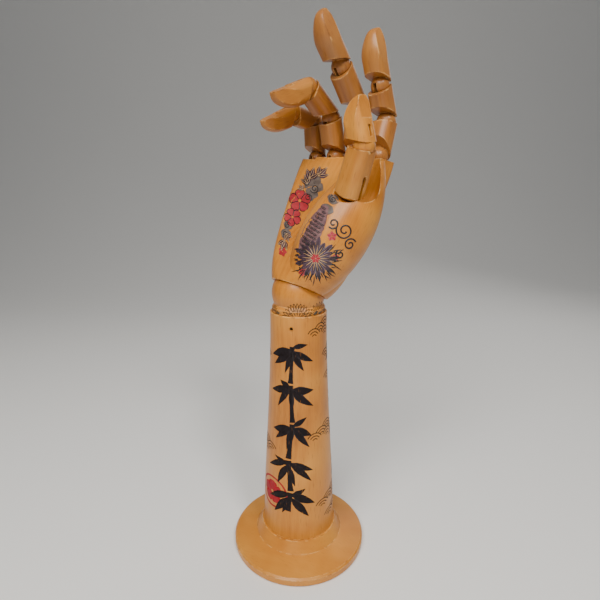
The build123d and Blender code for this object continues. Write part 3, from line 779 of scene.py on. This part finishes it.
def paintForearm():
    for side in ("front", "back"):
        stalk = drawStrokes(side, bamboo(bambooSpray[side], bambooSpray))
        paint(side + "Bamboo", "forearm", "black", stalk, "round", forearmCoat)
    look = sealLook
    seal = [ring(*look["place"], look["radius"], look["line"])]
    seal += blossom(*look["place"], look["blossom"], look["petals"], look["turn"], look["petalWidth"])
    paint("redSeal", "forearm", "red", drawStrokes("seal", seal), "round", sealCoat)
    places = [(x * millimetre, z * millimetre, 0) for group in waveGroups.values() for x, z in group]
    fans = bpy.data.meshes.new("fanPlaces")
    fans.from_pydata(places, [], [])
    paint("waveFans", "forearm", "olive", fans, "fans", fanCoat)


# fine-line flowers round the lower half of the wrist's ball, with a few green leaves between them
wristFlowers = {
    "rounds": (                 # middle, height, petals, inner and outer reach
        (-1, 212, 15, 6.5, 13.5),
        (-1, 212, 9, 4.0, 8.5),
        (-25.5, 213, 11, 3.6, 8.0),
        (20.5, 213, 11, 5.0, 12.0),
        (42, 213, 9, 2.6, 6.5),
        (70, 213, 9, 2.6, 6.5),
    ),
    "line": 0.6,
    "petalTurn": 5.0,
    "shoulder": 0.86,           # share of the outer reach where a petal closes
    "leaves": (                 # side, height, heading, length
        (-15.5, 214, 165, 7.0),
        (-15.5, 213, 128, 6.0),
        (13, 213, 50, 7.0),
        (16, 214, 14, 8.0),
        (31, 213, 120, 6.0),
        (58, 213, 60, 6.0),
    ),
    "leafWidth": 3.6,
    "leafBend": 15,
}
wristCoat = {"Round": 0.0225, "Turn": paintTurn, "Ragged": 0.06, "Across": 1}
flowerLineCoat = {**wristCoat, "Proud": 0.00005}
wristLeafCoat = {**wristCoat, "Proud": 0.00008}


def paintWristBlock(look):
    lines = []
    for middle, high, petals, near, far in look["rounds"]:
        for petal in range(petals):
            heading = 180.0 * petal / (petals - 1)
            for turn in (-look["petalTurn"], look["petalTurn"]):
                bends = ((near, 0), ((near + far) / 2, turn), (far * look["shoulder"], turn), (far, 0))
                lines.append([(*spotAt(middle, high, reach, heading + bend), look["line"])
                              for reach, bend in bends])
    flowers = drawStrokes("wristFlower", lines)
    paint("wristFlowerLines", "wrist_block", "sepia", flowers, "round", flowerLineCoat)
    leaves = [leaf(x, z, heading, length, look["leafWidth"], look["leafBend"])
              for x, z, heading, length in look["leaves"]]
    paint("wristLeaves", "wrist_block", "teal", drawStrokes("wristLeaf", leaves), "round", wristLeafCoat)


# the palm's clouds and flowers, in millimetres right of the axis and up, as seen from the photograph's side
palmGarden = {
    "clouds": (                 # left end, height, length, width
        (7, 317, 11, 9),
        (5, 311.5, 14.5, 10),
        (6, 306.5, 9.5, 9.5),
        (5, 303.5, 7, 8),
        (21.5, 302.5, 7.5, 7.5),
        (16.5, 295.5, 8.5, 8),
        (-12, 281, 7, 7),
        (-14, 274.5, 8, 8),
    ),
    # share of the length, rise, share of the width
    "cloudShape": ((0.0, 0.0, 0.5), (0.2, 0.5, 1.0), (0.75, -0.4, 0.95), (1.0, 0.0, 0.45)),
    "swirls": (                 # middle, radius, where it starts
        (7, 315, 3.2, 60),
        (13, 310, 3.6, 200),
        (8, 303, 3.0, 330),
        (25, 302.5, 2.6, 90),
        (-9, 281, 2.6, 20),
        (-11, 274.5, 2.4, 250),
    ),
    "swirlLine": 0.6,
    "swirlTurns": 1.5,
    "scrollShare": 0.2,         # the inner end of swirls and tendrils
    "blossoms": ((1.0, 300.5, 9.0, 16), (-4.9, 287.5, 7.1, 40)),      # middle, radius, turn
    "buds": ((-12.5, 262, 3.4, 0), (24, 277, 3.4, 20), (3, 250, 3.0, 50), (27, 262, 2.6, 10)),
    "blossomPetals": 5,
    "petalShare": 0.84,         # a petal's width to its blossom's radius
    "budShare": 0.9,
    "band": ((20, 298, 4.0), (16.5, 291, 9.5), (11, 281, 13.0), (5.5, 271, 11.0), (2, 263, 5.0)),
    "scale": 2.7,
    "tendrils": (               # middle, radius, turns, where it starts
        (33, 281, 6.4, 1.5, 150),
        (37, 271, 4.6, 1.4, 20),
        (25, 286, 4.0, 1.3, 215),
        (30, 264, 3.4, 1.2, 120),
    ),
    "tendrilLine": 1.15,
    "sprays": (                 # foot, heading, size
        (9, 318, 62, 1.15),
        (16, 320, 38, 1.1),
        (7, 314, 100, 0.9),
        (3.5, 309, 122, 0.62),
        (-11, 270, 245, 0.9),
        (-10, 275, 290, 0.75),
    ),
    "sprayLeaves": ((0, 8.8), (38, 7.48), (-38, 7.48)),
    "sprayWidth": 3.9,
    "sprayBend": 10,
    "veinPlace": 0.4,           # of a leaf's half width
    "veinLine": 0.24,
    "edgePlace": 0.86,          # of a petal's half width
    "edgeLine": 0.55,
    "knot": (-12.5, 265, 250, 2.6, 1.5),       # a small leaf: foot, heading, length, width
}

# the large flower over the thumb's mound, and the fine strands that spread from it
chrysanthemum = {
    "place": (12.5, 261),
    "reach": 14.0,
    "petalStep": 20,
    "petalStart": 1.5,
    "petalWidth": 3.0,
    "longShort": (1.0, 0.82),             # petals in turn, as shares of the reach
    "veinShare": 0.7,
    "veinWidth": 0.5,
    "heart": {"radius": 3.4, "petals": 6, "turn": 0, "petalWidth": 2.6},
    "strands": 58,
    "strandFrom": -205,
    "strandStep": 4.1,
    "strandStart": (0.86, 0.1, 2.4),      # level, swing and pace of the swing from strand to strand
    "strandTurn": (14, 1.9),              # swing and pace
    "strandLength": (6.2, 2.6, 1.7),
    "strandBend": (34, 1.3),
    "strandWidth": 0.8,
    "edgeCosine": -0.4,                   # strands left of this and above the next
    "edgeSine": -0.55,
    "edgeShare": 0.45,                    # are cut to this, to end on the mound
}


def cloudStrokes(look):
    return [[(x + share * long, z + rise, wide * part) for share, rise, part in look["cloudShape"]]
            for x, z, long, wide in look["clouds"]]


def sprayStrokes(look):
    return [leaf(x, z, heading + turn, length * size, look["sprayWidth"] * size, look["sprayBend"])
            for x, z, heading, size in look["sprays"] for turn, length in look["sprayLeaves"]]


def crownStrokes(look):
    strokes = []
    for heading in range(0, 360, look["petalStep"]):
        x, z = spotAt(*look["place"], look["petalStart"], heading)
        length = look["reach"] * look["longShort"][heading // look["petalStep"] % 2]
        strokes.append(leaf(x, z, heading, length, look["petalWidth"], shape=petalShape))
    return strokes


def strandStrokes(look):
    level, swing, pace = look["strandStart"]
    turn, turnPace = look["strandTurn"]
    long, longSwing, longPace = look["strandLength"]
    bend, bendPace = look["strandBend"]
    strokes = []
    for strand in range(look["strands"]):
        heading = look["strandFrom"] + strand * look["strandStep"]
        angle = math.radians(heading)
        x, z = spotAt(*look["place"], look["reach"] * (level + swing * math.sin(strand * pace)), heading)
        length = long + longSwing * math.sin(strand * longPace)
        if math.cos(angle) < look["edgeCosine"] and math.sin(angle) > look["edgeSine"]:
            length *= look["edgeShare"]
        strokes.append(leaf(x, z, heading + turn * math.sin(strand * turnPace), length,
                            look["strandWidth"], bend * math.cos(strand * bendPace)))
    return strokes


def outlined(blades, share, line):
    # the two edges of each leaf or petal as thin lines; share is of the blade's half width
    lines = []
    for blade in blades:
        for side in (-share, share):
            edge = []
            for place, (x, z, wide) in enumerate(blade):
                before = blade[max(place - 1, 0)]
                after = blade[min(place + 1, len(blade) - 1)]
                right, up = after[0] - before[0], after[1] - before[1]
                off = wide / 2 * side / math.hypot(right, up)
                edge.append((x - up * off, z + right * off, line))
            lines.append(edge)
    return lines


# shares of one scale's size; each arc is its radius share and its line's width
scaleShape = {"rowPitch": 0.95, "margin": 0.45, "stagger": 0.25, "arcs": ((0.62, 0.5), (0.28, 0.45)),
              "headings": (-75, -45, -15, 15, 45, 75)}


def scaleBand(band, size, look):
    # rows of small overlapping arcs along a band, like roof tiles
    strokes = []
    for (x0, z0, w0), (x1, z1, w1) in zip(band, band[1:]):
        heading = math.degrees(math.atan2(z1 - z0, x1 - x0))
        rows = max(1, round(math.hypot(x1 - x0, z1 - z0) / (size * look["rowPitch"])))
        for row in range(rows):
            share = (row + 0.5) / rows
            half = (w0 + (w1 - w0) * share) / 2 - size * look["margin"]
            count = max(1, int(2 * half / size))
            stagger = look["stagger"] if row % 2 else -look["stagger"]
            for scale in range(count):
                off = (scale - (count - 1) / 2 + stagger) * size
                x, z = spotAt(x0 + (x1 - x0) * share, z0 + (z1 - z0) * share, off, heading + 90)
                for radius, width in look["arcs"]:
                    strokes.append([(*spotAt(x, z, size * radius, heading + turn), width)
                                    for turn in look["headings"]])
    return strokes


# ink and sizes; coats that cross lie at different heights over the wood
palmCoats = {
    "palmClouds": ("grey", {"Proud": 0.00005, "Across": 5}),
    "palmBlossoms": ("red", {"Proud": 0.00008}),
    "palmBand": ("plum", {"Proud": 0.00006, "Across": 5}),
    "palmLeaves": ("violet", {"Proud": 0.0001}),
    "palmLines": ("black", {"Proud": 0.00014, "Across": 1, "Step": 0.0006}),
    "palmVeins": ("pale", {"Proud": 0.00017, "Across": 1}),
    "palmHeart": ("red", {"Proud": 0.00019}),
}


def layOnPalm(name, strokes):
    ink, sizes = palmCoats[name]
    view = {"Right": tuple(sideways), "Away": tuple(flatAway)}
    paint(name, "palm", ink, drawStrokes(name, strokes), "flat", {**view, **sizes})


def paintPalm(look, flower):
    layOnPalm("palmClouds", cloudStrokes(look))
    petals = [piece for x, z, radius, turn in look["blossoms"]
              for piece in blossom(x, z, radius, look["blossomPetals"], turn, radius * look["petalShare"])]
    buds = [piece for x, z, radius, turn in look["buds"]
            for piece in blossom(x, z, radius, look["blossomPetals"], turn, radius * look["budShare"])]
    layOnPalm("palmBlossoms", petals + buds)
    layOnPalm("palmBand", [look["band"]])
    sprays = sprayStrokes(look)
    layOnPalm("palmLeaves", crownStrokes(flower) + sprays)

    swirls = [ring(x, z, radius, look["swirlLine"], look["swirlTurns"], start, look["scrollShare"])
              for x, z, radius, start in look["swirls"]]
    tendrils = [ring(x, z, radius, look["tendrilLine"], turns, start, look["scrollShare"])
                for x, z, radius, turns, start in look["tendrils"]]
    lines = scaleBand(look["band"], look["scale"], scaleShape)
    lines += outlined(petals, look["edgePlace"], look["edgeLine"]) + swirls
    lines += strandStrokes(flower) + tendrils + [leaf(*look["knot"])]
    layOnPalm("palmLines", lines)

    veins = [leaf(*flower["place"], heading, flower["reach"] * flower["veinShare"], flower["veinWidth"])
             for heading in range(0, 360, flower["petalStep"])]
    veins += outlined(sprays, look["veinPlace"], look["veinLine"])
    layOnPalm("palmVeins", veins)
    heart = flower["heart"]
    middle = blossom(*flower["place"], heart["radius"], heart["petals"], heart["turn"], heart["petalWidth"])
    layOnPalm("palmHeart", middle)


paintForearm()
paintWristBlock(wristFlowers)
paintPalm(palmGarden, chrysanthemum)
print("painting done")
